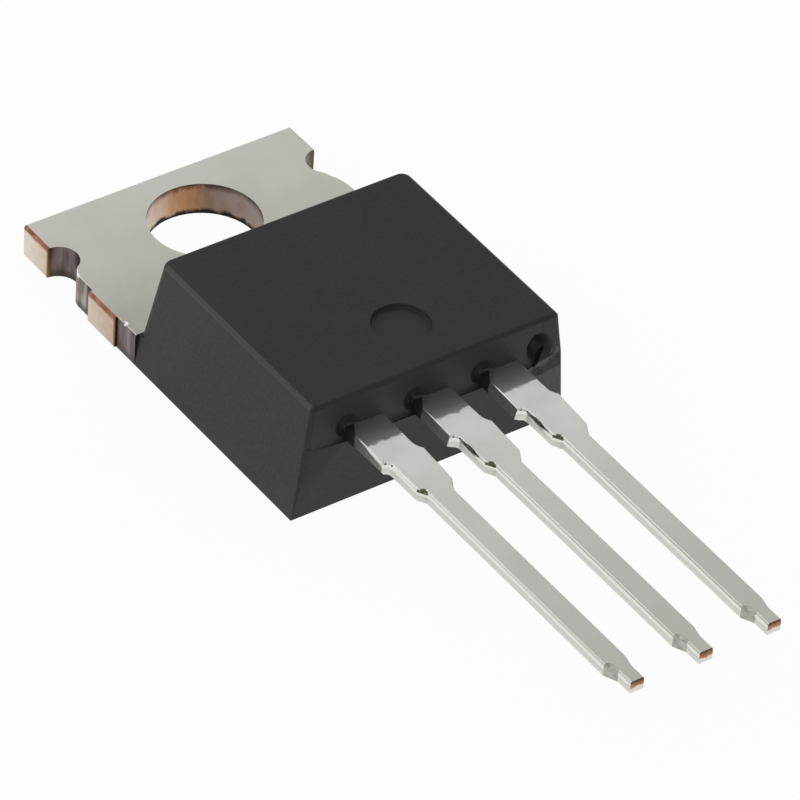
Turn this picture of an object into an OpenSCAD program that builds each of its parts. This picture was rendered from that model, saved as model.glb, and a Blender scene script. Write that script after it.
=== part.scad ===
// Power MOSFET in the three-lead plastic package with a drilled mounting tab.
// X runs across the leads, -Y runs out along them and +Z points out of the front face.
// The origin is the mounting hole's axis on the heat-sink face. All sizes are in millimetres.

/* [Tab] */
// Width of the tab across its sheared corners, and of the body at the heat-sink face
package_w = 10.28; // [10.1:0.02:10.5]
// Thickness of the tab and of the chip pad
tab_t = 1.2; // [1.1:0.05:1.4]
// Hole axis to the tab's free end
tab_end = 2.75; // [2.54:0.01:3]
// Diameter of the mounting hole
hole_d = 3.8; // [3.54:0.02:3.9]
// Radius of the two side notches
notch_r = 0.67; // [0.5:0.01:0.75]
// How far the notch centres lie from the hole axis towards the free end
notch_y = 0.64; // [0.5:0.01:0.8]
// Radius of the lip that leads into the notch on the gate side
notch_lip_gate = 0.6; // [0.4:0.05:0.7]
// Radius of the lip that leads into the notch on the source side
notch_lip_source = 1.9; // [1.2:0.05:2]
// How far the plated edge is set back from the sheared corners
edge_set_back = 0.06; // [0.02:0.01:0.1]
// Hole axis to the near end of the sheared tie-bar stubs
tie_from = 1.17; // [1.1:0.01:1.3]
// Width of the tie-bar stubs along the tab
tie_w = 1.59; // [1.2:0.01:1.8]
// How far the tie-bar stubs stand out of the tab's side
tie_out = 0.06; // [0.02:0.01:0.12]

/* [Chip pad] */
// Plastic on each side of the chip pad
pad_wall = 0.95; // [0.8:0.05:1.2]
// Far end of the chip pad to the body's end wall, where the centre lead climbs
pad_end_wall = 3.33; // [3:0.05:3.6]
// Depth of the coined step along the pad's edges that locks it in the plastic
lock_step = 0.25; // [0.1:0.05:0.35]
// Height of the coined step above the heat-sink face
lock_h = 0.5; // [0.3:0.05:0.7]
// Depth of the moisture groove across the pad
groove_depth = 0.18; // [0.1:0.02:0.3]
// Edge of the plastic to the moisture groove
groove_from_wall = 0.55; // [0.5:0.01:0.65]

/* [Body] */
// Width of the body at its front face
body_front_w = 9.28; // [9:0.02:9.6]
// Height of the body over the heat-sink face
body_h = 4.33; // [4.24:0.01:4.65]
// Hole axis to the body's wall over the tab
body_from = 3.82; // [3.7:0.02:4]
// Length of the body above its parting line
body_l = 9.06; // [8.9:0.02:9.4]
// How far the wall over the tab has leaned back where it reaches the front face
tab_wall_back = 0.54; // [0.3:0.02:0.7]
// Radius of the body's upright corners over the tab
corner_r = 0.35; // [0.2:0.05:0.5]
// Radius of its upright corners at the leads
end_corner_r = 0.08; // [0.04:0.02:0.16]
// Width of the soft edge round the front face
front_edge = 0.08; // [0.04:0.01:0.12]
// How far the lower half stands out past the upper half under the leads
parting_ledge = 0.12; // [0.05:0.01:0.2]
// How far the lower half's end wall draws in towards the heat-sink face
end_wall_in = 0.27; // [0.15:0.01:0.4]
// Width of the slanted flats at the ends of the lower half's end wall
flat_w = 1.45; // [1:0.05:1.8]
// How far those flats recede at the corner, at the parting line
flat_depth = 0.14; // [0.06:0.02:0.24]

/* [Ejector mark] */
// Diameter of the round ejector mark in the front face
mark_d = 1.96; // [1.5:0.02:2.4]
// Depth of the ejector mark
mark_depth = 0.07; // [0.03:0.01:0.12]
// Body's lead end to the mark's centre
mark_from_end = 2.13; // [1.9:0.01:2.5]
// How far the mark lies off the body's centre line
mark_x = 0.1; // [0:0.01:0.2]

/* [End pockets] */
// Radius of the small scooped pocket beside each lead
pocket_r = 0.33; // [0.2:0.01:0.4]
// Lead's centre line to its pocket
pocket_x = 0.64; // [0.6:0.01:0.7]
// Radius of the larger pocket, outside the source lead
gate_scar_r = 0.46; // [0.3:0.01:0.55]
// Source lead's centre line to the larger pocket
gate_scar_x = 1.5; // [1.4:0.01:1.6]
// How far the larger pocket's centre lies above the parting line
gate_scar_h = 0.52; // [0.45:0.01:0.6]

/* [Leads] */
// Spacing of the leads
lead_pitch = 2.54; // [2.41:0.01:2.67]
// Thickness of the lead stock
lead_t = 0.45; // [0.38:0.01:0.6]
// Heat-sink face to the underside of the leads, which is also the parting line
lead_z = 2.64; // [2.4:0.02:2.7]
// Length of the leads outside the body
lead_l = 14.12; // [13.4:0.02:14.4]
// Width of the leads at the body
root_w = 1.38; // [1.3:0.01:1.45]
// How far the root's centre line lies off the lead's own, towards the gate
root_shift = 0.1; // [0:0.01:0.12]
// Body to the points that the sheared dam bar left
dam_from = 2; // [1.8:0.02:2.2]
// Lead's centre line to the point on the gate side
dam_out_gate = 0.83; // [0.78:0.01:0.9]
// Lead's centre line to the point on the source side
dam_out_source = 0.76; // [0.7:0.01:0.9]
// Radius in which the lead's source side swells out to its point
swell_r = 0.6; // [0.4:0.05:0.8]
// Lead's centre line to its gate side between the point and the shoulder
blade_gate = 0.6; // [0.56:0.01:0.68]
// Lead's centre line to its source side at the shoulder
blade_source = 0.66; // [0.58:0.01:0.7]
// Body to the lead's steep shoulder on the gate side
shoulder_from_gate = 3.54; // [3.3:0.02:4]
// Length of the gate side's shoulder
shoulder_l_gate = 0.32; // [0.2:0.02:0.6]
// Body to the lead's shoulder on the source side
shoulder_from_source = 3.64; // [3.3:0.02:4]
// Length of the source side's shoulder
shoulder_l_source = 0.48; // [0.3:0.02:0.6]
// Width of the slim part of the lead
lead_w = 0.81; // [0.69:0.01:1]
// Width of the sheared tip
tip_w = 0.5; // [0.4:0.01:0.6]
// How far the tip's centre line lies off the lead's own, towards the source
tip_shift = 0.06; // [0:0.01:0.08]
// Length of the parallel sheared tip
tip_l = 0.62; // [0.4:0.01:0.7]
// Length of the taper behind the tip
taper_l = 0.44; // [0.4:0.01:0.8]

/* [Bonding posts] */
// Length of the leads inside the body
post_l = 2.1; // [1.8:0.05:2.3]
// Width of the gate lead's post
gate_post_w = 1.7; // [1.5:0.05:1.9]
// Width of the source lead's post
source_post_w = 2.5; // [2.1:0.05:2.7]
// Lead's centre line to the post's inner side
post_in = 0.85; // [0.8:0.01:0.9]
// Body's end wall to the start of the flare into the post
flare_from = 0.55; // [0.4:0.05:0.7]
// Length of the flare into the post
flare_l = 0.4; // [0.2:0.05:0.5]
// Body's end wall to the foot of the centre lead's rise from the pad
rise_to = 1; // [0.8:0.05:1.2]

/* [Chip] */
// Width of the chip, across the leads
die_w = 3.4; // [2.6:0.1:4]
// Length of the chip, along the leads
die_l = 4; // [3:0.1:4.2]
// Thickness of the chip
die_t = 0.28; // [0.2:0.01:0.35]
// Thickness of the solder under the chip
solder_t = 0.05; // [0.03:0.01:0.08]
// How far the solder runs out past the chip's sides
solder_out = 0.15; // [0.05:0.01:0.2]
// Far end of the pad to the chip
die_from_end = 0.5; // [0.3:0.05:0.6]
// Thickness of the metal on the chip's bonding areas
metal_t = 0.02; // [0.01:0.01:0.03]
// Side of the square gate area, in the chip's corner
gate_area = 0.7; // [0.5:0.05:0.8]
// Bare margin round the bonding areas
die_margin = 0.2; // [0.1:0.05:0.25]

/* [Bond wires] */
// Diameter of the source wires
source_wire_d = 0.38; // [0.3:0.01:0.4]
// Diameter of the gate wire
gate_wire_d = 0.15; // [0.1:0.01:0.2]
// Spacing of the source wires
wire_pitch = 0.68; // [0.66:0.01:0.72]
// Length of the bonded feet
wire_foot = 0.45; // [0.3:0.05:0.5]
// Slope of the wires as they leave the chip, in degrees
wire_rise = 45; // [40:1:50]
// Slope of the wires as they come down on the posts, in degrees
wire_fall = 20; // [14:1:24]
// Bend radius of the wires, along their underside
wire_bend = 0.6; // [0.5:0.01:0.65]
// Thickness of the squashed feet, as a share of the wire's diameter
foot_squash = 0.75; // [0.72:0.01:0.85]

/* [Hidden] */
$fn = 48;

tin = "#b6b6ae";
epoxy = "#383836";
solder = "#8d9094";
silicon = "#4a4f58";
aluminium = "#d4d6d8";

// lead_end_y is the body's wall at the leads, above the parting line
lead_end_y = -body_from - body_l;
pad_end_y = lead_end_y + pad_end_wall;
pad_w = package_w - 2 * pad_wall;
die_y = pad_end_y + die_from_end;
die_top = tab_t + solder_t + die_t + metal_t;
post_top = lead_z + lead_t;
// The cuts and slabs that meet a face run past it, or are as thin, by this much
past = tab_t / 100;
// Sides of a wire's rings, and rings less one in each of its bends
wire_sides = 10;
bend_steps = 4;

// ---------------------------------------------------------------- outlines

// Points along an arc from angle a0 to angle a1
function arc(centre, r, a0, a1, steps = 12) =
    [for (i = [0:steps]) centre + r * [cos(a0 + (a1 - a0) * i / steps), sin(a0 + (a1 - a0) * i / steps)]];

// One side of the tab from the free end to the body, for the side at +X: the sheared corner,
// the round notch, the rounded lip that runs out of it, the set-back edge and the tie-bar stub.
// The lip is the arc that touches both the notch and the set-back edge.
function tab_side(lip_r) =
    let (half = package_w / 2,
         inset = half - edge_set_back,
         lip_x = inset - lip_r,
         lip_y = notch_y - sqrt(pow(notch_r + lip_r, 2) - pow(half - lip_x, 2)),
         meet = atan2(notch_y - lip_y, half - lip_x))
    concat([[half, tab_end]],
           arc([half, notch_y], notch_r, 90, 180 + meet, 20),
           arc([lip_x, lip_y], lip_r, meet, 0),
           [[inset, -tie_from],
            [half + tie_out, -tie_from],
            [half + tie_out, -tie_from - tie_w],
            [half, -tie_from - tie_w],
            [half, -body_from]]);

function mirrored(points) = [for (i = [len(points) - 1:-1:0]) [-points[i][0], points[i][1]]];

// The sides of a lead are points [distance from the body, distance from the lead's centre line].
// From the end of its shoulder each side runs straight to the taper and the tip, where its
// distance from the centre line is out.
function slim_side(from, out) =
    [[from, lead_w / 2],
     [lead_l - tip_l - taper_l, lead_w / 2],
     [lead_l - tip_l, out],
     [lead_l, out]];

// On the gate side the dam bar tore off in a point, whose far side is hollow
function gate_side(root) =
    let (tear_r = dam_out_gate - blade_gate)
    concat([[0, root]],
           arc([dam_from + tear_r, dam_out_gate], tear_r, 180, 270, 5),
           [[shoulder_from_gate, blade_gate]],
           slim_side(shoulder_from_gate + shoulder_l_gate, tip_w / 2 - tip_shift));

// On the source side the lead swells out to the point in an arc, then narrows to the shoulder
function source_side(root) =
    let (out = dam_out_source - root,
         l = sqrt(2 * swell_r * out - out * out))
    concat([[0, root]],
           arc([dam_from - l, root + swell_r], swell_r, -90, asin(l / swell_r) - 90, 6),
           [[shoulder_from_source, blade_source]],
           slim_side(shoulder_from_source + shoulder_l_source, tip_w / 2 + tip_shift));

// The stamped outline of one lead outside the body, round its own centre line
module lead_outline() {
    left = gate_side(root_w / 2 + root_shift);
    right = source_side(root_w / 2 - root_shift);
    polygon(concat([for (p = left) [-p[1], lead_end_y - p[0]]],
                   [for (i = [len(right) - 1:-1:0]) [right[i][1], lead_end_y - right[i][0]]]));
}

// The hidden inner end of an outer lead flares to a post that runs out to the side given by way
module post_outline(post_w, way) {
    near = min(-way * post_in, way * (post_w - post_in));
    far = near + post_w;
    polygon([[-root_w / 2 - root_shift, lead_end_y],
             [-root_w / 2 - root_shift, lead_end_y + flare_from],
             [near, lead_end_y + flare_from + flare_l],
             [near, lead_end_y + post_l],
             [far, lead_end_y + post_l],
             [far, lead_end_y + flare_from + flare_l],
             [root_w / 2 - root_shift, lead_end_y + flare_from],
             [root_w / 2 - root_shift, lead_end_y]]);
}

module lead(index) {
    translate([index * lead_pitch, 0, lead_z])
        linear_extrude(lead_t)
            lead_outline();
}

// ---------------------------------------------------------------- drain frame

// Tab, chip pad and centre lead are one stamping from stock with a thick and a thin part
module drain_frame() {
    color(tin)
    difference() {
        union() {
            tab_plate();
            chip_pad();
            centre_rise();
            lead(0);
        }
        translate([0, 0, -past])
            cylinder(d = hole_d, h = tab_t + 2 * past, $fn = 96);
        moisture_groove();
    }
}

module tab_plate() {
    linear_extrude(tab_t)
        polygon(concat(tab_side(notch_lip_source), mirrored(tab_side(notch_lip_gate))));
}

// The pad narrows inside the plastic, and its coined lower edge lets the plastic grip it
module chip_pad() {
    pad_section = [[-pad_w / 2 + lock_step, 0],
                   [pad_w / 2 - lock_step, 0],
                   [pad_w / 2 - lock_step, lock_h],
                   [pad_w / 2, lock_h],
                   [pad_w / 2, tab_t],
                   [-pad_w / 2, tab_t],
                   [-pad_w / 2, lock_h],
                   [-pad_w / 2 + lock_step, lock_h]];
    translate([0, -body_from, 0])
        rotate([90, 0, 0])
            linear_extrude(-body_from - pad_end_y)
                polygon(pad_section);
}

// The thin stock leaves the pad flush with its top, then climbs to the level of the leads
module centre_rise() {
    climb = lead_z + lead_t - tab_t;
    foot = pad_end_y - past;
    top = lead_end_y + rise_to;
    slope = atan2(climb, foot - top);
    // The underside is parallel to the top, so its bends lie further out along the lead
    shift = lead_t * tan(slope / 2);
    translate([-root_w / 2 - root_shift, 0, 0])
        rotate([90, 0, 90])
            linear_extrude(root_w)
                polygon([[pad_end_y + die_from_end / 2, tab_t],
                         [foot, tab_t],
                         [top, lead_z + lead_t],
                         [lead_end_y, lead_z + lead_t],
                         [lead_end_y, lead_z],
                         [top - shift, lead_z],
                         [foot - shift, tab_t - lead_t],
                         [pad_end_y + die_from_end / 2, tab_t - lead_t]]);
}

module moisture_groove() {
    translate([-pad_w / 2 - past, -body_from - groove_from_wall, tab_t])
        rotate([90, 0, 90])
            linear_extrude(pad_w + 2 * past)
                polygon([[-groove_depth, past], [-groove_depth, 0], [0, -groove_depth],
                         [groove_depth, 0], [groove_depth, past]]);
}

// ---------------------------------------------------------------- outer leads

module gate_lead() {
    color(tin) {
        lead(-1);
        translate([-lead_pitch, 0, lead_z])
            linear_extrude(lead_t)
                post_outline(gate_post_w, -1);
    }
}

module source_lead() {
    color(tin) {
        lead(1);
        translate([lead_pitch, 0, lead_z])
            linear_extrude(lead_t)
                post_outline(source_post_w, 1);
    }
}

// ---------------------------------------------------------------- chip and solder

module die_solder() {
    color(solder)
        translate([-die_w / 2 - solder_out, die_y - solder_out, tab_t])
            cube([die_w + 2 * solder_out, die_l + 2 * solder_out, solder_t]);
}

// The gate area is in the corner by the gate lead, and the source area fills the rest
module silicon_die() {
    color(silicon)
        translate([-die_w / 2, die_y, tab_t + solder_t]) {
            cube([die_w, die_l, die_t]);
            translate([die_margin, die_margin, die_t])
                cube([gate_area, gate_area, metal_t]);
            translate([2 * die_margin + gate_area, die_margin, die_t])
                cube([die_w - 3 * die_margin - gate_area, die_l - 2 * die_margin, metal_t]);
        }
}

// ---------------------------------------------------------------- bond wires

// Stations along a bend, each [distance out, height, heading]. It starts at p and turns from one
// heading to the other, where a heading is the slope in degrees.
function bend(p, from, to) =
    let (up = sign(to - from))
    [for (i = [0:bend_steps])
        let (a = from + (to - from) * i / bend_steps)
        [p[0] + up * wire_bend * (sin(a) - sin(from)), p[1] + up * wire_bend * (cos(from) - cos(a)), a]];

// The point a given length on from a station
function onward(station, l) = [station[0] + l * cos(station[2]), station[1] + l * sin(station[2])];

// Stations along a wire: level foot, rise, bend over the top, fall, level foot.
// The rise and the fall are as long as it takes to cover span and climb height.
function wire_stations(span, height) =
    let (bends = 2 * wire_bend * [sin(wire_rise) + sin(wire_fall), cos(wire_fall) - cos(wire_rise)],
         along = span - 2 * wire_foot - bends[0],
         upward = height - bends[1],
         spread = sin(wire_rise + wire_fall),
         rise_l = (along * sin(wire_fall) + upward * cos(wire_fall)) / spread,
         fall_l = (along * sin(wire_rise) - upward * cos(wire_rise)) / spread,
         first = bend([wire_foot, 0], 0, wire_rise),
         over = bend(onward(first[bend_steps], rise_l), wire_rise, -wire_fall),
         last = bend(onward(over[bend_steps], fall_l), -wire_fall, 0))
    concat([[0, 0, 0]], first, over, last, [concat(onward(last[bend_steps], wire_foot), 0)]);

// A wire swept from the outer end of one foot to the outer end of the other, both on the surfaces
// that they are bonded to. Bonding squashes the feet: their rings are low and wide.
module wire(start, finish, d) {
    run = finish - start;
    half_h = d / 2 * cos(180 / wire_sides);
    stations = wire_stations(norm([run[0], run[1]]), run[2]);
    last = len(stations) - 1;
    points = [for (i = [0:last])
              let (s = stations[i], squash = i < 2 || i > last - 2 ? foot_squash : 1)
              for (k = [0:wire_sides - 1])
              let (a = 270 + (k + 0.5) * 360 / wire_sides,
                   side = d / 2 * cos(a) / squash,
                   lift = squash * (d / 2 * sin(a) + half_h))
              [side, s[0] - lift * sin(s[2]), s[1] + lift * cos(s[2])]];
    // The sweep follows the ring's lowest points, so the bends turn about the wire's underside
    walls = [for (i = [0:last - 1], k = [0:wire_sides - 1])
             let (next = (k + 1) % wire_sides)
             [i * wire_sides + next, (i + 1) * wire_sides + next,
              (i + 1) * wire_sides + k, i * wire_sides + k]];
    caps = [[for (k = [wire_sides - 1:-1:0]) k],
            [for (k = [0:wire_sides - 1]) last * wire_sides + k]];
    translate(start)
        rotate([0, 0, atan2(run[1], run[0]) - 90])
            polyhedron(points, concat(caps, walls), convexity = 4);
}

// The three source wires run side by side from the chip's source area to the source post
module source_wire(index) {
    area_x = (die_margin + gate_area) / 2;
    post_x = lead_pitch - post_in + source_post_w / 2;
    color(aluminium)
        wire([area_x + index * wire_pitch, die_y + 1.9 * wire_foot + die_margin, die_top],
             [post_x + index * wire_pitch, lead_end_y + flare_from + flare_l + die_margin, post_top],
             source_wire_d);
}

module source_wire_1() source_wire(-1);
module source_wire_2() source_wire(0);
module source_wire_3() source_wire(1);

module gate_wire() {
    area_x = -die_w / 2 + die_margin + gate_area / 2;
    post_x = -lead_pitch + post_in - gate_post_w / 2;
    color(aluminium)
        wire([area_x, die_y + die_margin + gate_area - gate_wire_d / 2, die_top],
             [post_x, lead_end_y + flare_from + flare_l, post_top],
             gate_wire_d);
}

// ---------------------------------------------------------------- epoxy body

// Half-width of the body and the place of its wall over the tab, at height z
function body_half(z) = (package_w + (body_front_w - package_w) * z / body_h) / 2;
function tab_wall_y(z) = -body_from - tab_wall_back * max(0, z - tab_t) / (body_h - tab_t);

// A level slice of the upper half, drawn in by inset, with rounded upright corners
module upper_slice(z, inset = 0) {
    half = body_half(z) - inset;
    back = tab_wall_y(z) - inset;
    front = lead_end_y + inset;
    translate([0, 0, z - past])
        linear_extrude(past)
            polygon(concat(arc([half - corner_r, back - corner_r], corner_r, 0, 90, 6),
                           arc([corner_r - half, back - corner_r], corner_r, 90, 180, 6),
                           arc([end_corner_r - half, front + end_corner_r], end_corner_r, 180, 270, 3),
                           arc([half - end_corner_r, front + end_corner_r], end_corner_r, 270, 360, 3)));
}

// A level slice of the lower half, with upright corners of radius r over the tab. Its end wall
// leans in towards the heat-sink face, and slants away a little to each side at the parting line.
module lower_slice(z, r = corner_r) {
    half = body_half(z);
    back = tab_wall_y(z);
    front = lead_end_y - parting_ledge + end_wall_in * (lead_z - z) / lead_z;
    corner = front + flat_depth * z / lead_z;
    translate([0, 0, min(z, lead_z - past)])
        linear_extrude(past)
            polygon(concat(arc([half - r, back - r], r, 0, 90, 6),
                           arc([r - half, back - r], r, 90, 180, 6),
                           [[-half, corner], [flat_w - half, front],
                            [half - flat_w, front], [half, corner]]));
}

// The two halves of the moulding, which meet at the parting line under the leads. Up to the top of
// the tab the plastic fills the corners behind the tab's full width.
module moulded_form() {
    hull() {
        upper_slice(lead_z + past);
        upper_slice(body_h - front_edge);
        upper_slice(body_h, front_edge);
    }
    hull() {
        lower_slice(tab_t);
        lower_slice(lead_z);
    }
    hull() {
        lower_slice(0, end_corner_r);
        lower_slice(tab_t, end_corner_r);
    }
}

module ejector_mark() {
    translate([mark_x, lead_end_y + mark_from_end, body_h - mark_depth])
        cylinder(d = mark_d, h = mark_depth + past, $fn = 64);
}

// Scooped pockets in the end wall at each lead's gate-side corner, and a larger one past the last
module end_pockets() {
    for (i = [-1:1])
        translate([i * lead_pitch - pocket_x, lead_end_y, post_top])
            sphere(r = pocket_r);
    translate([lead_pitch + gate_scar_x, lead_end_y, lead_z + gate_scar_h])
        sphere(r = gate_scar_r);
}

module epoxy_body() {
    color(epoxy)
    difference() {
        moulded_form();
        ejector_mark();
        end_pockets();
        drain_frame();
        gate_lead();
        source_lead();
        die_solder();
        silicon_die();
        for (i = [-1:1])
            source_wire(i);
        gate_wire();
    }
}

epoxy_body();
drain_frame();
gate_lead();
source_lead();
die_solder();
silicon_die();
source_wire_1();
source_wire_2();
source_wire_3();
gate_wire();
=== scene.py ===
"""Looks of a power MOSFET in the three-lead plastic package with a drilled mounting tab.

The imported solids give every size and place. X runs across the leads, -Y runs out along them and
+Z points out of the front face. The origin is the mounting hole's axis on the heat-sink face.
"""

import math

import bmesh
import bpy
from mathutils import Matrix, Vector


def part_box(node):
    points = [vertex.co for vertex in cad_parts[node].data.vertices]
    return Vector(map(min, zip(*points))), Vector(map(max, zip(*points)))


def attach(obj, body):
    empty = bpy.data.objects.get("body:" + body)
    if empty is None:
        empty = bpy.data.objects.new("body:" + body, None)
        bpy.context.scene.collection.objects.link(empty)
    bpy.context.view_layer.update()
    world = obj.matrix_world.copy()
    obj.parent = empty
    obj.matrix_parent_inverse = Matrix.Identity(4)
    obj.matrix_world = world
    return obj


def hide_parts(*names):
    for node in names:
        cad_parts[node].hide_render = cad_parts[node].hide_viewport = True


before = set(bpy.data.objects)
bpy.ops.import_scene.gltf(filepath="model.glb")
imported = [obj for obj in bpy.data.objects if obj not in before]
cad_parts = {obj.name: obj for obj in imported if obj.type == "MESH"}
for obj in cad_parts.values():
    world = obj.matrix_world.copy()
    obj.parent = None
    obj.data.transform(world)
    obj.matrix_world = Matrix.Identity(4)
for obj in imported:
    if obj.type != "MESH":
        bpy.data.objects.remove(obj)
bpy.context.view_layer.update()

mm = 0.001

# ---------------------------------------------------------------- moulded body
# The body is one block of black, silica-filled epoxy, transfer-moulded round the frame and leads.
# Its two halves meet at the underside of the leads. The sides lean in so that it leaves the mould,
# and an ejector pin has left a round mark in the front face.

body_low, body_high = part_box("epoxy_body")
body_width = body_high.x - body_low.x
body_height = body_high.z
front_width = 9.28 * mm
side_lean = (body_width - front_width) / 2
tab_wall_y = body_high.y
tab_thickness = 1.2 * mm
tab_wall_back = 0.54 * mm
tab_corner_radius = 0.35 * mm
edge_radius = 0.15 * mm
rim_radius = 0.02 * mm
corner_reach = 0.1 * mm
parting_z = 2.64 * mm
parting_ledge = 0.12 * mm
end_wall_y = body_low.y + parting_ledge
end_wall_in = 0.27 * mm
flat_width = 1.45 * mm
flat_depth = 0.14 * mm
parting_fillet = 0.09 * mm
mark_radius = 0.98 * mm
mark_depth = 0.15 * mm
mark_slope = 0.07 * mm
mark_centre = Vector((0.1 * mm, end_wall_y + 2.13 * mm, body_height))
lead_pitch = 2.54 * mm
lead_top = 3.09 * mm
root_side = 0.79 * mm
pocket_radius = 0.52 * mm
pocket_depth = 0.24 * mm
pocket_side = 0.72 * mm
pocket_z = lead_top + 0.09 * mm
bleed_width = 0.3 * mm
bleed_length = 0.46 * mm
bleed_rise = 0.03 * mm
scar_radius = 0.68 * mm
scar_depth = 0.55 * mm
scar_place = Vector((3.95 * mm, end_wall_y, parting_z + 0.55 * mm))
scar_oval = (0.8, 1.05, 1)
scar_lean = math.radians(-15)
stump_from = 3.8 * mm
stump_side_normal = Vector((-0.37, 0, 0.47))
stump_tilt = 0.06
stump_back = parting_z + 0.39 * mm
stump_front = parting_z + 0.24 * mm
painted_light_down_to = parting_z - 0.33 * mm
pad_half_width = 3.94 * mm
pad_end_y = end_wall_y + 3.33 * mm
pad_opening_depth = 0.3 * mm
spare = 1 * mm
weld = 0.001 * mm
flush = 0.01 * mm
sliver_angle = math.radians(0.05)
smooth_angle = math.radians(35)
forwards = math.radians(90)

# The tool that sinks a round dip: its sides, its height above the surface, its rings, the share of
# its slope that is left out at the rim, and how far the rim starts above the surface
dip_sides = 64
dip_above = 0.5 * mm
dip_rings = 10
rim_share = 0.1
rim_spare = 0.03


def deselect():
    """Leaves no object selected, in object mode."""
    if bpy.context.mode != "OBJECT":
        bpy.ops.object.mode_set(mode="OBJECT")
    bpy.ops.object.select_all(action="DESELECT")


def take(piece):
    """Makes a piece the only selected object."""
    deselect()
    piece.select_set(True)
    bpy.context.view_layer.objects.active = piece


def edit(piece):
    """Opens a piece in edit mode with nothing in it selected."""
    take(piece)
    bpy.ops.object.mode_set(mode="EDIT")
    bpy.ops.mesh.select_mode(type="FACE")
    bpy.ops.mesh.select_all(action="DESELECT")


def block(name, low, high):
    """Adds a box between two corners, with its place in its mesh."""
    deselect()
    low, high = Vector(low), Vector(high)
    bpy.ops.mesh.primitive_cube_add(size=1, location=(low + high) / 2, scale=high - low)
    bpy.ops.object.transform_apply(location=True, rotation=True, scale=True)
    bpy.context.object.name = name
    return bpy.context.object


def shave(point, normal):
    """Cuts the open mesh off flat at a plane and closes it. The normal points at what goes."""
    bpy.ops.mesh.select_all(action="SELECT")
    bpy.ops.mesh.bisect(plane_co=point, plane_no=Vector(normal).normalized(), threshold=weld,
                        use_fill=True, clear_outer=True)


def pick_faces(piece, wanted):
    """Selects the faces of the open mesh for which wanted(centre, normal) is true."""
    bpy.ops.mesh.select_mode(type="FACE")
    bpy.ops.mesh.select_all(action="DESELECT")
    mesh = bmesh.from_edit_mesh(piece.data)
    for face in mesh.faces:
        if wanted(face.calc_center_median(), face.normal):
            face.select_set(True)
    bmesh.update_edit_mesh(piece.data)


def pick_edges(piece, wanted):
    """Selects the edges of the open mesh for which wanted(middle, along, normals) is true."""
    bpy.ops.mesh.select_mode(type="EDGE")
    bpy.ops.mesh.select_all(action="DESELECT")
    mesh = bmesh.from_edit_mesh(piece.data)
    for edge in mesh.edges:
        a, b = edge.verts[0].co, edge.verts[1].co
        along = (b - a).normalized()
        if wanted((a + b) / 2, along, [face.normal for face in edge.link_faces]):
            edge.select_set(True)
    bmesh.update_edit_mesh(piece.data)


def dress_faces(piece, finish, wanted):
    """Gives the faces that are wanted one of the materials that the piece has."""
    pick_faces(piece, wanted)
    piece.active_material_index = piece.data.materials.find(finish.name)
    bpy.ops.object.material_slot_assign()


def carve(piece, tool, operation="DIFFERENCE"):
    """Cuts the tool's shape out of a piece, or joins it on, and takes the tool out of the scene."""
    take(piece)
    bpy.ops.object.modifier_add(type="BOOLEAN")
    modifier = piece.modifiers[-1]
    modifier.operation = operation
    modifier.solver = "EXACT"
    modifier.object = tool
    bpy.ops.object.modifier_apply(modifier=modifier.name)
    bpy.data.objects.remove(tool)


def clean(piece):
    """Takes out the slivers that cuts have left along edges that nearly meet."""
    edit(piece)
    bpy.ops.mesh.select_all(action="SELECT")
    bpy.ops.mesh.remove_doubles(threshold=weld)
    bpy.ops.mesh.dissolve_degenerate(threshold=weld)
    bpy.ops.mesh.dissolve_limited(angle_limit=sliver_angle)
    deselect()


def join(piece, part):
    """Makes a part that overlaps a piece a shell of the same mesh."""
    take(piece)
    part.select_set(True)
    bpy.ops.object.join()


def dip(piece, place, rings, turn=(0, 0, 0), oval=(1, 1, 1)):
    """Sinks a round dip into a piece at a place. Its rings are radii and depths, from the rim to
    the floor. Oval draws it out before turn swings it away from straight down."""
    deselect()
    bpy.ops.mesh.primitive_cylinder_add(vertices=dip_sides, radius=rings[0][0], depth=dip_above,
                                        location=(0, 0, dip_above / 2 - rings[0][1]))
    bpy.ops.object.transform_apply(location=True, rotation=True, scale=True)
    tool = bpy.context.object
    edit(tool)
    pick_faces(tool, lambda at, normal: normal.z < -0.9)
    for (radius, depth), (next_radius, next_depth) in zip(rings, rings[1:]):
        bpy.ops.mesh.extrude_region_move(TRANSFORM_OT_translate={"value": (0, 0, depth - next_depth)})
        shrink = next_radius / radius
        bpy.ops.transform.resize(value=(shrink, shrink, 1), center_override=(0, 0, 0))
    take(tool)
    tool.scale = oval
    tool.rotation_euler = turn
    tool.location = place
    bpy.ops.object.transform_apply(location=True, rotation=True, scale=True)
    carve(piece, tool)


def bowl(radius, depth, floor=0.0):
    """Rings of a bowl whose sides run out softly into the surface round it. Its floor is level
    over that share of its radius."""
    rings = []
    for i in range(dip_rings + 1):
        share = rim_share + (1 - rim_share) * i / dip_rings
        sunk = (math.cos(math.pi * rim_share) - math.cos(math.pi * share)) / 2 - rim_spare
        rings.append((radius * (1 - (1 - floor) * i / dip_rings), depth * sunk))
    return rings if floor else rings[:-1]


def smooth(piece):
    """Shades rounded edges smooth and leaves the flat faces between them flat."""
    take(piece)
    bpy.ops.object.shade_smooth_by_angle(angle=smooth_angle)
    bpy.ops.object.modifier_add(type="WEIGHTED_NORMAL")
    modifier = piece.modifiers[-1]
    modifier.keep_sharp = True
    bpy.ops.object.modifier_apply(modifier=modifier.name)


def side_plane(side, inset=0.0):
    """A point and the normal of one of the leaning sides, or of a plane set in from it."""
    return (side * (body_width / 2 - inset), 0, 0), (side * body_height, 0, side_lean)


def lower_end(inset=0.0):
    """A point and the normal of the lower half's end wall, or of a plane set in from it."""
    return (0, body_low.y + inset, parting_z), (0, -parting_z, -end_wall_in)


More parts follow.
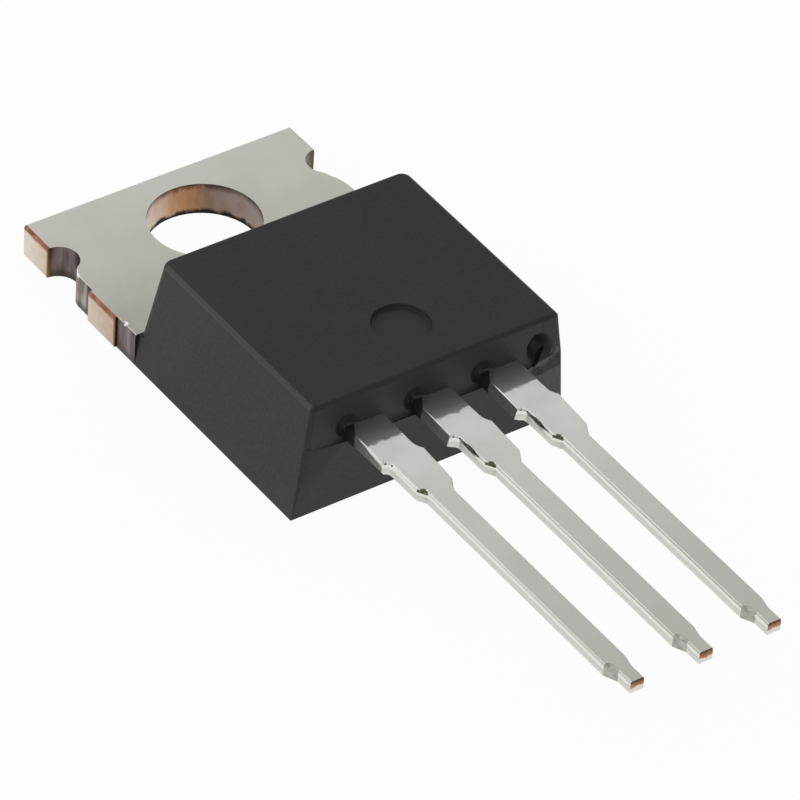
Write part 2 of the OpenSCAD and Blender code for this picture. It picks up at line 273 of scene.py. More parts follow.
def end_flat(side):
    """A point and the normal of the flat that slants away at one end of the lower end wall."""
    corner = side * (body_width / 2 - side_lean * parting_z / body_height)
    inner = Vector((corner - side * flat_width, body_low.y, parting_z))
    outer = Vector((corner, body_low.y + flat_depth, parting_z))
    foot = Vector((side * body_width / 2, body_low.y + end_wall_in, 0))
    return inner, side * (foot - inner).cross(outer - inner)


body = block("moulded_body", (-body_width, body_low.y - spare, 0), (body_width, tab_wall_y, body_height))
edit(body)
for side in (-1, 1):
    shave(*side_plane(side))
shave((0, tab_wall_y, tab_thickness), (0, body_height - tab_thickness, tab_wall_back))
shave(*lower_end())
for side in (-1, 1):
    shave(*end_flat(side))
bpy.ops.mesh.select_all(action="SELECT")
bpy.ops.mesh.normals_make_consistent(inside=False)
pick_edges(body, lambda at, along, normals: abs(along.z) > 0.9 and at.y > tab_wall_y - spare)
bpy.ops.mesh.bevel(offset=tab_corner_radius, segments=8, affect="EDGES")

# Up to the top of the tab the plastic fills the corners behind the tab's full width
toe = block("toe", (-body_width, tab_wall_y - spare, 0), (body_width, tab_wall_y, tab_thickness))
edit(toe)
for side in (-1, 1):
    shave(*side_plane(side))
carve(body, toe, "UNION")

# Under the leads the lower half stands out, and a small fillet leads up from it
upper_end = block("upper_end", (-body_width, body_low.y - 2 * spare, parting_z),
                  (body_width, end_wall_y, body_height + spare))
edit(upper_end)
pick_edges(upper_end, lambda at, along, normals: at.y > end_wall_y - weld and at.z < parting_z + weld)
bpy.ops.mesh.bevel(offset=parting_fillet, segments=5, affect="EDGES")
carve(body, upper_end)
edit(body)
pick_edges(body, lambda at, along, normals:
           at.z > body_height - weld
           or (abs(along.z) > 0.9 and at.y < end_wall_y + corner_reach and at.z > parting_z))
bpy.ops.mesh.bevel(offset=edge_radius, segments=6, affect="EDGES")
pick_edges(body, lambda at, along, normals:
           abs(at.z - parting_z) < weld and at.y < end_wall_y - parting_ledge / 4)
bpy.ops.mesh.bevel(offset=rim_radius, segments=2, affect="EDGES")

dip(body, mark_centre, bowl(mark_radius, mark_depth, 1 - mark_slope / mark_radius))

# A soft pocket beside each lead, and the deep scar where the resin's gate broke off
for lead_x in (-lead_pitch, 0, lead_pitch):
    dip(body, Vector((lead_x - pocket_side, end_wall_y, pocket_z)), bowl(pocket_radius, pocket_depth),
        turn=(forwards, 0, 0))
dip(body, scar_place, bowl(scar_radius, scar_depth), turn=(forwards, scar_lean, 0), oval=scar_oval)

# The heat-sink face is open where the chip pad shows
pad_opening = block("pad_opening", (-pad_half_width, pad_end_y, -spare),
                    (pad_half_width, tab_wall_y + spare, pad_opening_depth))
carve(body, pad_opening)
clean(body)

# Thin resin has run out onto the corner of each lead's root
for lead_x in (-lead_pitch, 0, lead_pitch):
    bleed = block("bleed", (lead_x - root_side - bleed_rise, end_wall_y - bleed_length, parting_z),
                  (lead_x - root_side + bleed_width, end_wall_y + bleed_rise, lead_top + bleed_rise))
    edit(bleed)
    shave((lead_x - root_side, end_wall_y - bleed_length, 0), (bleed_length, -bleed_width, 0))
    pick_edges(bleed, lambda at, along, normals: at.z > lead_top)
    bpy.ops.mesh.bevel(offset=0.9 * bleed_rise, segments=3, affect="EDGES")
    join(body, bleed)

# The stump of the resin's gate is flush with the lower half, and its broken top slopes forward
stump = block("stump", (stump_from - spare, body_low.y - spare, parting_z - spare / 2),
              (body_width, end_wall_y + scar_depth, body_height))
edit(stump)
shave(*lower_end(flush))
shave(*end_flat(1))
shave(*side_plane(1, flush))
shave((stump_from, 0, parting_z), stump_side_normal)
shave((0, end_wall_y, stump_back), (stump_tilt, (stump_front - stump_back) / parting_ledge, 1))
join(body, stump)

smooth(body)


def linear(hex_colour):
    """The scene's own colour for a hex colour as it is seen."""
    shown = [int(hex_colour[i:i + 2], 16) / 255 for i in (1, 3, 5)]
    return [c / 12.92 if c <= 0.04045 else ((c + 0.055) / 1.055) ** 2.4 for c in shown] + [1]


def add(material, kind, inputs=None, stops=(), **settings):
    """Adds a node with its settings. An input is a value or another node's output, and stops are
    the places and colours of a ramp."""
    tree = material.node_tree
    node = tree.nodes.new(kind)
    for name, value in settings.items():
        setattr(node, name, value)
    for name, value in (inputs or {}).items():
        if isinstance(value, bpy.types.NodeSocket):
            tree.links.new(value, node.inputs[name])
        else:
            node.inputs[name].default_value = value
    for index, (place, colour) in enumerate(stops):
        elements = node.color_ramp.elements
        element = elements[index] if index < 2 else elements.new(place)
        element.position = place
        element.color = colour
    return node


def new_material(name):
    """A material with an empty node tree and an output."""
    material = bpy.data.materials.new(name)
    material.use_nodes = True
    material.node_tree.nodes.clear()
    add(material, "ShaderNodeOutputMaterial")
    return material


def finish_material(material, shader):
    """Links a shader to the material's output."""
    output = next(n for n in material.node_tree.nodes if n.type == "OUTPUT_MATERIAL")
    material.node_tree.links.new(shader.outputs[0], output.inputs["Surface"])
    return material


# Black moulding compound straight from a finely eroded mould: a soft sheen on a dense grain of
# filler, a little uneven where the resin flowed. The grain is drawn coarser than it is, so that it
# shows. Handling has rubbed the long front edges glossier.
moulding_compound = new_material("black_moulding_compound")
rubbed_compound = new_material("rubbed_moulding_compound")
for compound, gloss, level in ((moulding_compound, 0.5, 0.4), (rubbed_compound, 0.34, 0.6)):
    place = add(compound, "ShaderNodeTexCoord").outputs["Object"]
    flow = add(compound, "ShaderNodeTexNoise",
               {"Vector": place, "Scale": 1 / (3 * mm), "Detail": 3.0, "Roughness": 0.5})
    grain = add(compound, "ShaderNodeTexNoise",
                {"Vector": place, "Scale": 1 / (0.11 * mm), "Detail": 2.0, "Roughness": 0.6})
    tone = add(compound, "ShaderNodeValToRGB", {"Fac": flow.outputs["Fac"]},
               [(0.35, linear("#1a1b18")), (0.65, linear("#21221e"))])
    sheen = add(compound, "ShaderNodeMapRange",
                {"Value": grain.outputs["Fac"], "From Min": 0.3, "From Max": 0.7,
                 "To Min": gloss, "To Max": gloss + 0.1})
    relief = add(compound, "ShaderNodeBump",
                 {"Height": grain.outputs["Fac"], "Strength": 0.25, "Distance": 0.01 * mm})
    finish_material(compound, add(
        compound, "ShaderNodeBsdfPrincipled",
        {"Base Color": tone.outputs["Color"], "Roughness": sheen.outputs["Result"], "IOR": 1.5,
         "Specular IOR Level": level, "Normal": relief.outputs["Normal"]}))

# Where the resin's gate broke off, the filler shows as a duller grey-green. Its paler tone on the stump's
# broken top and on the lower end wall under it is partly the filler and partly painted light.
broken_and_lit_compound = new_material("broken_compound_with_painted_light")
place = add(broken_and_lit_compound, "ShaderNodeTexCoord").outputs["Object"]
grit = add(broken_and_lit_compound, "ShaderNodeTexNoise",
           {"Vector": place, "Scale": 1 / (0.15 * mm), "Detail": 3.0, "Roughness": 0.6})
tone = add(broken_and_lit_compound, "ShaderNodeValToRGB", {"Fac": grit.outputs["Fac"]},
           [(0.35, linear("#3a3b33")), (0.65, linear("#484940"))])
relief = add(broken_and_lit_compound, "ShaderNodeBump",
             {"Height": grit.outputs["Fac"], "Strength": 0.3, "Distance": 0.02 * mm})
finish_material(broken_and_lit_compound, add(
    broken_and_lit_compound, "ShaderNodeBsdfPrincipled",
    {"Base Color": tone.outputs["Color"], "Roughness": 0.6, "IOR": 1.5,
     "Normal": relief.outputs["Normal"]}))

for finish in (moulding_compound, broken_and_lit_compound, rubbed_compound):
    body.data.materials.append(finish)
edit(body)
dress_faces(body, rubbed_compound, lambda at, normal:
            at.z > body_height - edge_radius and abs(normal.x) > 0.2 and abs(normal.y) < 0.1
            and (at.xy - mark_centre.xy).length > 1.5 * mark_radius)
# Painted light with the broken filler: the paler compound on the stump and on the end wall under it
dress_faces(body, broken_and_lit_compound, lambda at, normal:
            at.x > stump_from and at.y < end_wall_y + rim_radius
            and painted_light_down_to < at.z < stump_back + weld)
deselect()
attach(body, "root")
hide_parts("epoxy_body")

# ---------------------------------------------------------------- drain frame
# Tab, chip pad and centre lead are one stamping of copper strip with a thick and a thin part,
# tinned all over. The punch has rolled its front edges over. It was sheared out of the strip after
# plating, so its corners and the two tie-bar stubs show bare copper.

tab_end_y = 2.75 * mm
corner_x = body_width / 2
stub_x = 5.2 * mm
corner_from_y = 1.2 * mm
stub_from_y = -1.17 * mm
stub_to_y = -2.76 * mm
hole_radius = 1.9 * mm
notch_radius = 0.67 * mm
notch_y = 0.64 * mm
lip_to_y = -0.4 * mm
roll_width = 0.06 * mm
roll_stretch = 2.0
rolled_in = 1.1 * roll_width
crisp_rim = 0.05 * mm
lead_end_y = -27.0 * mm
taper_from_y = -25.94 * mm
taper_to_y = -26.38 * mm
thin_strip_y = end_wall_y + 1 * mm
root_roll_y = end_wall_y + 0.5 * mm
dam_y = end_wall_y - 2 * mm
side_from_y = dam_y + 0.3 * mm
flap_x = -0.83 * mm
flap_lift = 0.1 * mm
flap_out = 0.1 * mm
taper_shade_from_y = taper_from_y + 0.1 * mm
torn_width = 0.13 * mm
torn_fade = 0.1 * mm
reach = 0.01 * mm
flat_join = math.radians(0.5)

# Marks of the tools, placed from the middle of a lead's root: a scoop along the edge, a nick nearer
# the body, a smear further out and a pinch half way down the shank. Scored is how far the tin is
# scored through, and for the scoop it is across, along and down.
scoop_place = Vector((-0.6, -2.76, -0.01)) * mm
scoop_radius = 0.12 * mm
scoop_depth = 0.05 * mm
scoop_turn = (0, math.radians(-90), 0)
scoop_oval = (1, 4.8, 1)
scoop_scored = Vector((0.06, 0.57, 0.13)) * mm
nick_place = Vector((-0.72, -2.06, 0)) * mm
nick_radius = 0.11 * mm
nick_depth = 0.08 * mm
nick_scored = 0.07 * mm
smear_place = Vector((-0.5, -3.74, 0)) * mm
smear_radius = 0.2 * mm
smear_depth = 0.07 * mm
smear_oval = (1.1, 0.8, 1)
smear_scored = 0.14 * mm
pinch_place = Vector((-0.33, -13.28, 0)) * mm
pinch_radius = 0.24 * mm
pinch_depth = 0.07 * mm
pinch_oval = (0.7, 1, 1)

# A small chip in the tab's edge beside the body
chip_place = Vector((-5.12 * mm, -3.16 * mm, tab_thickness))
chip_radius = 0.13 * mm
chip_depth = 0.1 * mm


def merged_copy(node, name):
    """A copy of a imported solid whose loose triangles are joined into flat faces."""
    piece = bpy.data.objects.new(name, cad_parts[node].data.copy())
    bpy.context.scene.collection.objects.link(piece)
    piece.data.materials.clear()
    take(piece)
    bpy.ops.mesh.customdata_custom_splitnormals_clear()
    edit(piece)
    bpy.ops.mesh.select_all(action="SELECT")
    bpy.ops.mesh.remove_doubles(threshold=weld)
    bpy.ops.mesh.mark_sharp(clear=True)
    bpy.ops.mesh.dissolve_limited(angle_limit=flat_join)
    return piece


def upper_edge(normals):
    """True where a face that looks up meets an upright one."""
    if len(normals) != 2:
        return False
    lower, upper = sorted(normal.z for normal in normals)
    return upper > 0.6 and abs(lower) < 0.5


def pick_corner(piece, place):
    """Selects the vertex of the open mesh at a place."""
    bpy.ops.mesh.select_mode(type="VERT")
    bpy.ops.mesh.select_all(action="DESELECT")
    mesh = bmesh.from_edit_mesh(piece.data)
    for vertex in mesh.verts:
        if (vertex.co - place).length < reach:
            vertex.select_set(True)
    bmesh.update_edit_mesh(piece.data)


def stretch(factor):
    """Scales the whole open mesh in height, from the heat-sink face up."""
    bpy.ops.mesh.select_all(action="SELECT")
    bpy.ops.transform.resize(value=(1, 1, factor), center_override=(0, 0, 0))


def roll_edges(piece, top, wanted):
    """Rounds the edges of a level top where the punch came in. They roll over further down the
    side than across the top."""
    stretch(1 / roll_stretch)
    pick_edges(piece, lambda at, along, normals:
               wanted(at) and abs(at.z * roll_stretch - top) < weld and upper_edge(normals))
    bpy.ops.mesh.bevel(offset=roll_width, segments=5, affect="EDGES")
    stretch(roll_stretch)


def finish_lead(lead, centre_x, out):
    """Rolls a lead's edges, and gives it the torn point of its dam bar and the marks of its tools.
    The scoop goes where the torn point was pushed out."""
    edit(lead)
    pick_corner(lead, Vector((centre_x + flap_x, dam_y, parting_z)))
    bpy.ops.transform.translate(value=(-out, 0, flap_lift))
    roll_edges(lead, lead_top, lambda at: lead_end_y + weld < at.y < root_roll_y)
    root = Vector((centre_x, end_wall_y, lead_top))
    if out:
        dip(lead, root + scoop_place, bowl(scoop_radius, scoop_depth), turn=scoop_turn, oval=scoop_oval)
    dip(lead, root + nick_place, bowl(nick_radius, nick_depth))
    dip(lead, root + smear_place, bowl(smear_radius, smear_depth), oval=smear_oval)
    dip(lead, root + pinch_place, bowl(pinch_radius, pinch_depth), oval=pinch_oval)


# The rims of the hole and of the notches stay crisp
drain = merged_copy("drain_frame", "drain_stamping")
roll_edges(drain, tab_thickness, lambda at:
           at.y > tab_wall_y + weld and at.xy.length > hole_radius + crisp_rim
           and math.hypot(corner_x - abs(at.x), notch_y - at.y) > notch_radius + crisp_rim)
dip(drain, chip_place, bowl(chip_radius, chip_depth))
finish_lead(drain, 0, flap_out)
clean(drain)

# A Mix node has sockets for every type that it mixes, so these go by their places
number_a, number_b, number_out = 2, 3, 0
colour_a, colour_b, colour_out = 6, 7, 2

# Greys of a ramp that sets how far the second colour shows
none = (0, 0, 0, 1)
most = (0.8, 0.8, 0.8, 1)
full = (1, 1, 1, 1)

# Matt tin on the thick strip: plated after rolling, so the grey is soft and faintly clouded. A fine frost
# scatters part of the light, and the grey is darker towards the body, a painted shade.
matt_tin = new_material("matt_tin_plating")
place = add(matt_tin, "ShaderNodeTexCoord").outputs["Object"]
spot = add(matt_tin, "ShaderNodeSeparateXYZ", {"Vector": place})
cloud = add(matt_tin, "ShaderNodeTexNoise",
            {"Vector": place, "Scale": 1 / (1.6 * mm), "Detail": 4.0, "Roughness": 0.55})
from_body = add(matt_tin, "ShaderNodeMapRange",
                {"Value": spot.outputs["Y"], "From Min": tab_wall_y, "From Max": tab_end_y})
drift = add(matt_tin, "ShaderNodeMix",
            {"Factor": 0.45, number_a: from_body.outputs["Result"], number_b: cloud.outputs["Fac"]})
# Painted shade: the ramp darkens the tin towards the body
tone = add(matt_tin, "ShaderNodeValToRGB", {"Fac": drift.outputs[number_out]},
           [(0.2, linear("#b9b8af")), (0.42, linear("#c9c8bf")), (0.75, linear("#d6d5ce"))])
frost = add(matt_tin, "ShaderNodeTexNoise",
            {"Vector": place, "Scale": 1 / (0.02 * mm), "Detail": 2.0, "Roughness": 0.5})
sheen = add(matt_tin, "ShaderNodeMapRange",
            {"Value": frost.outputs["Fac"], "From Min": 0.4, "From Max": 0.65,
             "To Min": 0.22, "To Max": 0.6})
relief = add(matt_tin, "ShaderNodeBump",
             {"Height": cloud.outputs["Fac"], "Strength": 0.2, "Distance": 0.01 * mm})
finish_material(matt_tin, add(
    matt_tin, "ShaderNodeBsdfPrincipled",
    {"Base Color": tone.outputs["Color"], "Metallic": 1.0, "Roughness": sheen.outputs["Result"],
     "Normal": relief.outputs["Normal"]}))

# Bright tin on the thin strip: it mirrors the body with a slight ripple, under a thin matt haze. Its
# colour is painted lighter at the roots and darker towards the tips, a painted highlight that fades along
# the leads.
bright_tin = new_material("bright_tin_plating")
place = add(bright_tin, "ShaderNodeTexCoord").outputs["Object"]
spot = add(bright_tin, "ShaderNodeSeparateXYZ", {"Vector": place})
cloud = add(bright_tin, "ShaderNodeTexNoise",
            {"Vector": place, "Scale": 1 / (1.2 * mm), "Detail": 3.0, "Roughness": 0.5})
from_root = add(bright_tin, "ShaderNodeMapRange",
                {"Value": spot.outputs["Y"], "From Min": end_wall_y, "From Max": lead_end_y})
drift = add(bright_tin, "ShaderNodeMix",
            {"Factor": 0.3, number_a: from_root.outputs["Result"], number_b: cloud.outputs["Fac"]})
# Painted highlight: lightest near the roots, darker towards the tips
tone = add(bright_tin, "ShaderNodeValToRGB", {"Fac": drift.outputs[number_out]},
           [(0.15, linear("#e6e6e3")), (0.3, linear("#d8d9d3")), (0.6, linear("#cacbc4")),
            (0.9, linear("#c2c3ba"))])
ripple = add(bright_tin, "ShaderNodeTexNoise",
             {"Vector": place, "Scale": 1 / (0.4 * mm), "Detail": 2.0, "Roughness": 0.5})
relief = add(bright_tin, "ShaderNodeBump",
             {"Height": ripple.outputs["Fac"], "Strength": 0.6, "Distance": 0.012 * mm})
haze = add(bright_tin, "ShaderNodeTexNoise",
           {"Vector": place, "Scale": 1 / (0.01 * mm), "Detail": 1.0, "Roughness": 0.5})
sheen = add(bright_tin, "ShaderNodeMapRange",
            {"Value": haze.outputs["Fac"], "From Min": 0.5, "From Max": 0.58,
             "To Min": 0.06, "To Max": 0.5})
finish_material(bright_tin, add(
    bright_tin, "ShaderNodeBsdfPrincipled",
    {"Base Color": tone.outputs["Color"], "Metallic": 1.0, "Roughness": sheen.outputs["Result"],
     "Normal": relief.outputs["Normal"]}))

# The leads' sides: the punch burnished the upper part, and the lower part broke away rough and is a little
# greyer under its tin. The upper band's lighter tone is partly a painted highlight, and the grey line just
# under it is painted shade.
side_tin = new_material("tin_on_sheared_side")
place = add(side_tin, "ShaderNodeTexCoord").outputs["Object"]
spot = add(side_tin, "ShaderNodeSeparateXYZ", {"Vector": place})
ragged = add(side_tin, "ShaderNodeTexNoise",
             {"Vector": place, "Scale": 1 / (0.5 * mm), "Detail": 3.0, "Roughness": 0.5})
level = add(side_tin, "ShaderNodeMapRange",
            {"Value": spot.outputs["Z"], "From Min": parting_z, "From Max": lead_top})
edge_line = add(side_tin, "ShaderNodeMix",
                {"Factor": 0.2, number_a: level.outputs["Result"], number_b: ragged.outputs["Fac"]})
# Painted highlight in the light upper band and painted shade in the grey line under it
tone = add(side_tin, "ShaderNodeValToRGB", {"Fac": edge_line.outputs[number_out]},
           [(0.15, linear("#dddcd6")), (0.35, linear("#d6d6cf")), (0.5, linear("#d1d1c9")),
            (0.56, linear("#e2e2dd"))])
sheen = add(side_tin, "ShaderNodeMapRange",
            {"Value": edge_line.outputs[number_out], "From Min": 0.45, "From Max": 0.6,
             "To Min": 0.45, "To Max": 0.2})
relief = add(side_tin, "ShaderNodeBump",
             {"Height": ragged.outputs["Fac"], "Strength": 0.3, "Distance": 0.01 * mm})
finish_material(side_tin, add(
    side_tin, "ShaderNodeBsdfPrincipled",
    {"Base Color": tone.outputs["Color"], "Metallic": 1.0, "Roughness": sheen.outputs["Result"],
     "Normal": relief.outputs["Normal"]}))

# Painted shade on the facet where each tip's taper starts, on its -X side: a duller, darker grey, clouded.
taper_shade_tin = new_material("taper_painted_shade_tin")
place = add(taper_shade_tin, "ShaderNodeTexCoord").outputs["Object"]
patches = add(taper_shade_tin, "ShaderNodeTexNoise",
              {"Vector": place, "Scale": 1 / (0.25 * mm), "Detail": 3.0, "Roughness": 0.6})
tone = add(taper_shade_tin, "ShaderNodeValToRGB", {"Fac": patches.outputs["Fac"]},
           [(0.35, linear("#a3a39c")), (0.5, linear("#b3b3ac")), (0.65, linear("#c3c3bc"))])
finish_material(taper_shade_tin, add(
    taper_shade_tin, "ShaderNodeBsdfPrincipled",
    {"Base Color": tone.outputs["Color"], "Metallic": 1.0, "Roughness": 0.45}))

# Where a tool's edge has scored through the tin: dark grey and dull.
scored_tin = new_material("scored_tin")
place = add(scored_tin, "ShaderNodeTexCoord").outputs["Object"]
patches = add(scored_tin, "ShaderNodeTexNoise",
              {"Vector": place, "Scale": 1 / (0.1 * mm), "Detail": 2.0, "Roughness": 0.5})
tone = add(scored_tin, "ShaderNodeValToRGB", {"Fac": patches.outputs["Fac"]},
           [(0.35, linear("#514d42")), (0.65, linear("#7c7767"))])
finish_material(scored_tin, add(
    scored_tin, "ShaderNodeBsdfPrincipled",
    {"Base Color": tone.outputs["Color"], "Metallic": 1.0, "Roughness": 0.5}))

# Copper laid bare by the shear: pale and burnished over most of its height, palest at the free end,
# red-brown in a ragged strip where the edge rolled over, that red darkened by painted shade of the rolled
# edge, and brown where each span tore off.
sheared_copper = new_material("sheared_copper")
place = add(sheared_copper, "ShaderNodeTexCoord").outputs["Object"]
spot = add(sheared_copper, "ShaderNodeSeparateXYZ", {"Vector": place})
ragged = add(sheared_copper, "ShaderNodeTexNoise",
             {"Vector": place, "Scale": 1 / (0.3 * mm), "Detail": 3.0, "Roughness": 0.6})
outward = add(sheared_copper, "ShaderNodeMapRange",
              {"Value": spot.outputs["Y"], "From Min": stub_to_y, "From Max": tab_end_y})
drift = add(sheared_copper, "ShaderNodeMix",
            {"Factor": 0.25, number_a: outward.outputs["Result"], number_b: ragged.outputs["Fac"]})
tone = add(sheared_copper, "ShaderNodeValToRGB", {"Fac": drift.outputs[number_out]},
           [(0.1, linear("#bda38d")), (0.3, linear("#d3c0af")), (0.7, linear("#d2bfab")),
            (0.84, linear("#e0d5ca"))])
level = add(sheared_copper, "ShaderNodeMapRange",
            {"Value": spot.outputs["Z"], "From Min": 0.0, "From Max": tab_thickness})
edge_line = add(sheared_copper, "ShaderNodeMix",
                {"Factor": 0.12, number_a: level.outputs["Result"], number_b: ragged.outputs["Fac"]})
strip = add(sheared_copper, "ShaderNodeValToRGB", {"Fac": edge_line.outputs[number_out]},
            [(0.77, none), (0.83, full)])
# The copper's own red, darkened by painted shade of the rolled edge
red_brown_and_shade = add(sheared_copper, "ShaderNodeValToRGB", {"Fac": ragged.outputs["Fac"]},
                [(0.4, linear("#84523d")), (0.6, linear("#ab7660"))])
rolled = add(sheared_copper, "ShaderNodeMix",
             {"Factor": strip.outputs["Color"], colour_a: tone.outputs["Color"],
              colour_b: red_brown_and_shade.outputs["Color"]}, data_type="RGBA")
# Each span is torn at its end towards the body. Between the spans the ramp turns back unseen.
torn_stub = torn_width / (tab_end_y - stub_to_y)
torn_corner = (corner_from_y + torn_width - stub_to_y) / (tab_end_y - stub_to_y)
faded_corner = torn_corner + torn_fade / (tab_end_y - stub_to_y)
torn = add(sheared_copper, "ShaderNodeValToRGB", {"Fac": outward.outputs["Result"]},
           [(torn_stub / 3, full), (torn_stub, none), (0.5, none), (0.6, full),
            (torn_corner, full), (faded_corner, none)])
copper_tone = add(sheared_copper, "ShaderNodeMix",
                  {"Factor": torn.outputs["Color"], colour_a: rolled.outputs[colour_out],
                   colour_b: linear("#6e5030")}, data_type="RGBA")
finish_material(sheared_copper, add(
    sheared_copper, "ShaderNodeBsdfPrincipled",
    {"Base Color": copper_tone.outputs[colour_out], "Metallic": 1.0, "Roughness": 0.4}))

# Tarnished copper on the narrow torn ends of the sheared spans: dark brown.
tarnish = new_material("tarnished_copper")
place = add(tarnish, "ShaderNodeTexCoord").outputs["Object"]
patches = add(tarnish, "ShaderNodeTexNoise", {"Vector": place, "Scale": 1 / (0.2 * mm), "Detail": 2.0})
tone = add(tarnish, "ShaderNodeValToRGB", {"Fac": patches.outputs["Fac"]},
           [(0.4, linear("#4a2a12")), (0.6, linear("#6e4a2c"))])
finish_material(tarnish, add(
    tarnish, "ShaderNodeBsdfPrincipled",
    {"Base Color": tone.outputs["Color"], "Metallic": 1.0, "Roughness": 0.5}))

# Copper in the punched hole, with painted light across the bore: pinkish tan on the side that faces the
# light and brown further across, flecked, with a dark rim at the top and a rough black band where it broke
# away.
punched_copper = new_material("punched_copper")
place = add(punched_copper, "ShaderNodeTexCoord").outputs["Object"]
spot = add(punched_copper, "ShaderNodeSeparateXYZ", {"Vector": place})
upright = add(punched_copper, "ShaderNodeMapping", {"Vector": place, "Scale": (1, 1, 0.4)})
ragged = add(punched_copper, "ShaderNodeTexNoise",
             {"Vector": upright.outputs["Vector"], "Scale": 1 / (0.4 * mm), "Detail": 4.0,
              "Roughness": 0.65})
across = add(punched_copper, "ShaderNodeMapRange",
             {"Value": spot.outputs["X"], "From Min": -hole_radius, "From Max": hole_radius})
drift = add(punched_copper, "ShaderNodeMix",
            {"Factor": 0.25, number_a: across.outputs["Result"], number_b: ragged.outputs["Fac"]})
# Painted light across the bore: pale on the lit side, brown further across
tone = add(punched_copper, "ShaderNodeValToRGB", {"Fac": drift.outputs[number_out]},
           [(0.15, linear("#e9d9ce")), (0.28, linear("#dccabd")), (0.45, linear("#cba88b")),
            (0.58, linear("#b4865f")), (0.72, linear("#826b5b")), (0.88, linear("#998a84"))])
level = add(punched_copper, "ShaderNodeMapRange",
            {"Value": spot.outputs["Z"], "From Min": 0.0, "From Max": tab_thickness})
edge_line = add(punched_copper, "ShaderNodeMix",
                {"Factor": 0.3, number_a: level.outputs["Result"], number_b: ragged.outputs["Fac"]})
band_darkening = add(punched_copper, "ShaderNodeValToRGB", {"Fac": edge_line.outputs[number_out]},
            [(0.2, full), (0.27, none), (0.7, none), (0.84, most)])
bore_tone = add(punched_copper, "ShaderNodeMix",
                {"Factor": band_darkening.outputs["Color"], colour_a: tone.outputs["Color"],
                 colour_b: linear("#2b211b")}, data_type="RGBA")
finish_material(punched_copper, add(
    punched_copper, "ShaderNodeBsdfPrincipled",
    {"Base Color": bore_tone.outputs[colour_out], "Metallic": 1.0, "Roughness": 0.45}))

# Thin tin over the rough punched walls of the tab: streaked from top to bottom, dark and reddish in the
# notches, greyer along the straight edges and darker in a band along the bottom.
punched_tin = new_material("thin_tin_on_punched_wall")
place = add(punched_tin, "ShaderNodeTexCoord").outputs["Object"]
spot = add(punched_tin, "ShaderNodeSeparateXYZ", {"Vector": place})
upright = add(punched_tin, "ShaderNodeMapping", {"Vector": place, "Scale": (1, 1, 0.12)})
streaks = add(punched_tin, "ShaderNodeTexNoise",
              {"Vector": upright.outputs["Vector"], "Scale": 1 / (0.3 * mm), "Detail": 2.0,
               "Roughness": 0.5})
round_notch = add(punched_tin, "ShaderNodeMapRange",
                  {"Value": spot.outputs["Y"], "From Min": stub_from_y,
                   "From Max": notch_y + notch_radius})
drift = add(punched_tin, "ShaderNodeMix",
            {"Factor": 0.2, number_a: round_notch.outputs["Result"], number_b: streaks.outputs["Fac"]})
tone = add(punched_tin, "ShaderNodeValToRGB", {"Fac": drift.outputs[number_out]},
           [(0.13, linear("#6b5f61")), (0.18, linear("#aca69d")), (0.42, linear("#aea9a1")),
            (0.455, linear("#3a322d")), (0.51, linear("#3a322d")), (0.58, linear("#827978")),
            (0.72, linear("#6f6665")), (0.88, linear("#746a68")), (0.94, linear("#5a4a3c"))])
level = add(punched_tin, "ShaderNodeMapRange",
            {"Value": spot.outputs["Z"], "From Min": 0.0, "From Max": tab_thickness})
edge_line = add(punched_tin, "ShaderNodeMix",
                {"Factor": 0.2, number_a: level.outputs["Result"], number_b: streaks.outputs["Fac"]})
band_darkening = add(punched_tin, "ShaderNodeValToRGB", {"Fac": edge_line.outputs[number_out]},
            [(0.2, most), (0.34, none)])
drag = add(punched_tin, "ShaderNodeValToRGB", {"Fac": streaks.outputs["Fac"]},
           [(0.4, linear("#b2aba8")), (0.56, linear("#ffffff"))])
streaked = add(punched_tin, "ShaderNodeMix",
               {"Factor": 1.0, colour_a: tone.outputs["Color"], colour_b: drag.outputs["Color"]},
               data_type="RGBA", blend_type="MULTIPLY")
wall_tone = add(punched_tin, "ShaderNodeMix",
                {"Factor": band_darkening.outputs["Color"], colour_a: streaked.outputs[colour_out],
                 colour_b: linear("#3d3a30")}, data_type="RGBA")
finish_material(punched_tin, add(
    punched_tin, "ShaderNodeBsdfPrincipled",
    {"Base Color": wall_tone.outputs[colour_out], "Metallic": 1.0, "Roughness": 0.35}))

# A lead's cropped end: tin dragged over its lower part, mottled bare copper above, dark at the top.
cropped_end = new_material("cropped_lead_end")
place = add(cropped_end, "ShaderNodeTexCoord").outputs["Object"]
spot = add(cropped_end, "ShaderNodeSeparateXYZ", {"Vector": place})
ragged = add(cropped_end, "ShaderNodeTexNoise",
             {"Vector": place, "Scale": 1 / (0.16 * mm), "Detail": 3.0, "Roughness": 0.6})
level = add(cropped_end, "ShaderNodeMapRange",
            {"Value": spot.outputs["Z"], "From Min": parting_z, "From Max": lead_top})
edge_line = add(cropped_end, "ShaderNodeMix",
                {"Factor": 0.3, number_a: level.outputs["Result"], number_b: ragged.outputs["Fac"]})
tone = add(cropped_end, "ShaderNodeValToRGB", {"Fac": edge_line.outputs[number_out]},
           [(0.4, linear("#e0ded6")), (0.46, linear("#b98f72")), (0.58, linear("#a06c4b")),
            (0.68, linear("#875c46")), (0.76, linear("#4a3c32"))])
finish_material(cropped_end, add(
    cropped_end, "ShaderNodeBsdfPrincipled",
    {"Base Color": tone.outputs["Color"], "Metallic": 1.0, "Roughness": 0.4}))


def in_scoop(from_scoop, normal):
    """True for a curved face within the scored length of the scoop."""
    return (weld < from_scoop.x < scoop_scored.x and abs(from_scoop.y) < scoop_scored.y
            and from_scoop.z > -scoop_scored.z and abs(normal.y) > 0.001)


